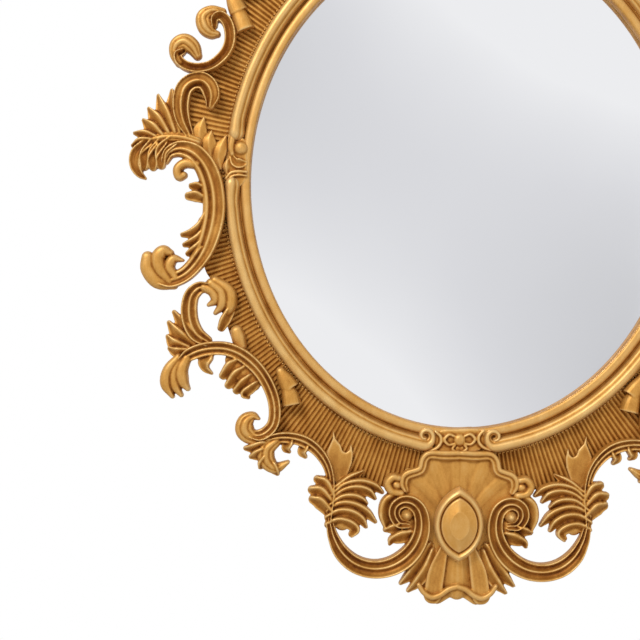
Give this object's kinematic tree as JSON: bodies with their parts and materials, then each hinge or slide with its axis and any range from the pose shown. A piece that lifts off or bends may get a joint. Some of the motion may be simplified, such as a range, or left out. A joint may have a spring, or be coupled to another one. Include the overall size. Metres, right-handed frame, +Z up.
{
  "type": "oval wall mirror",
  "caption": "Oval wall mirror in a carved and gilded frame of scrolls, acanthus leaves and shells, with a moulded rim, a fluted ground and ring hangers on its back.",
  "frame": {"origin": "centre of the oval, on the wall plane that the back bumpers rest on", "axes": "+Z up, +Y into the wall, +X to the right as one looks at the glass"},
  "size_m": [0.949, 0.06, 1.1905],
  "materials": {
    "gilt_carving": "satin antique gold",
    "gilt_ground": "darker antique gold",
    "gilt_moulding": "satin antique gold",
    "bare_wood": "planed, unfinished",
    "dowel_wood": "plain beech",
    "felt": "black felt",
    "mirror": "silvered",
    "board": "brown hardboard",
    "brass": "dull",
    "steel": "zinc plated",
    "rubber": "matt"
  },
  "bodies": {
    "frame": {"side_scroll_left": "gilt_carving", "side_scroll_right": "gilt_carving", "acanthus_left": "gilt_carving", "acanthus_right": "gilt_carving", "upper_scroll_left": "gilt_carving", "upper_scroll_right": "gilt_carving", "link_scroll_left": "gilt_carving", "link_scroll_right": "gilt_carving", "volute_left": "gilt_carving", "volute_right": "gilt_carving", "lower_scroll_left": "gilt_carving", "lower_scroll_right": "gilt_carving", "corner_scroll_left": "gilt_carving", "corner_scroll_right": "gilt_carving", "crest_volute_left": "gilt_carving", "crest_volute_right": "gilt_carving", "crest_scroll_left": "gilt_carving", "crest_scroll_right": "gilt_carving", "crest_corner_left": "gilt_carving", "crest_corner_right": "gilt_carving", "flame_leaves": "gilt_carving", "side_husks": "gilt_carving", "shoulder_husks": "gilt_carving", "side_buds": "gilt_carving", "link_buds": "gilt_carving", "foot_cartouche": "gilt_carving", "crest_cartouche": "gilt_carving", "foot_boss": "gilt_carving", "crest_boss": "gilt_carving", "upper_ground_left": "gilt_ground", "lower_ground_left": "gilt_ground", "upper_moulding_left": "gilt_moulding", "lower_moulding_left": "gilt_moulding", "hanger_strap_left": "steel", "upper_ground_right": "gilt_ground", "lower_ground_right": "gilt_ground", "upper_moulding_right": "gilt_moulding", "lower_moulding_right": "gilt_moulding", "hanger_strap_right": "steel", "side_flowers": "gilt_moulding", "foot_flower": "gilt_moulding", "crest_flower": "gilt_moulding", "sight_rim": "gilt_moulding", "back_frame": "bare_wood", "carving_dowels": "dowel_wood", "glass_cushion": "felt", "mirror_glass": "mirror", "backing_board": "board", "turn_button_screws": "brass", "hanger_screws": "steel", "wall_bumpers": "rubber"},
    "ring_left": {"hanger_ring_left": "steel"},
    "ring_right": {"hanger_ring_right": "steel"},
    "button_1": {"turn_button_1": "brass"},
    "button_2": {"turn_button_2": "brass"},
    "button_3": {"turn_button_3": "brass"},
    "button_4": {"turn_button_4": "brass"},
    "button_5": {"turn_button_5": "brass"},
    "button_6": {"turn_button_6": "brass"}
  },
  "joints": [
    {"name": "ring_left_swing", "type": "hinge", "parent": "frame", "child": "ring_left", "pos_m": [-0.24905, -0.00442, 0.24602], "axis": [1, 0, 0], "range_deg": [0, 180]},
    {"name": "ring_right_swing", "type": "hinge", "parent": "frame", "child": "ring_right", "pos_m": [0.24905, -0.00442, 0.24602], "axis": [1, 0, 0], "range_deg": [0, 180]},
    {"name": "button_1_turn", "type": "hinge", "parent": "frame", "child": "button_1", "pos_m": [0.27799, -0.00715, 0.183], "axis": [0, 1, 0], "range_deg": [-90, 90]},
    {"name": "button_2_turn", "type": "hinge", "parent": "frame", "child": "button_2", "pos_m": [0, -0.00715, 0.366], "axis": [0, 1, 0], "range_deg": [-90, 90]},
    {"name": "button_3_turn", "type": "hinge", "parent": "frame", "child": "button_3", "pos_m": [-0.27799, -0.00715, 0.183], "axis": [0, 1, 0], "range_deg": [-90, 90]},
    {"name": "button_4_turn", "type": "hinge", "parent": "frame", "child": "button_4", "pos_m": [-0.27799, -0.00715, -0.183], "axis": [0, 1, 0], "range_deg": [-90, 90]},
    {"name": "button_5_turn", "type": "hinge", "parent": "frame", "child": "button_5", "pos_m": [0, -0.00715, -0.366], "axis": [0, 1, 0], "range_deg": [-90, 90]},
    {"name": "button_6_turn", "type": "hinge", "parent": "frame", "child": "button_6", "pos_m": [0.27799, -0.00715, -0.183], "axis": [0, 1, 0], "range_deg": [-90, 90]}
  ]
}
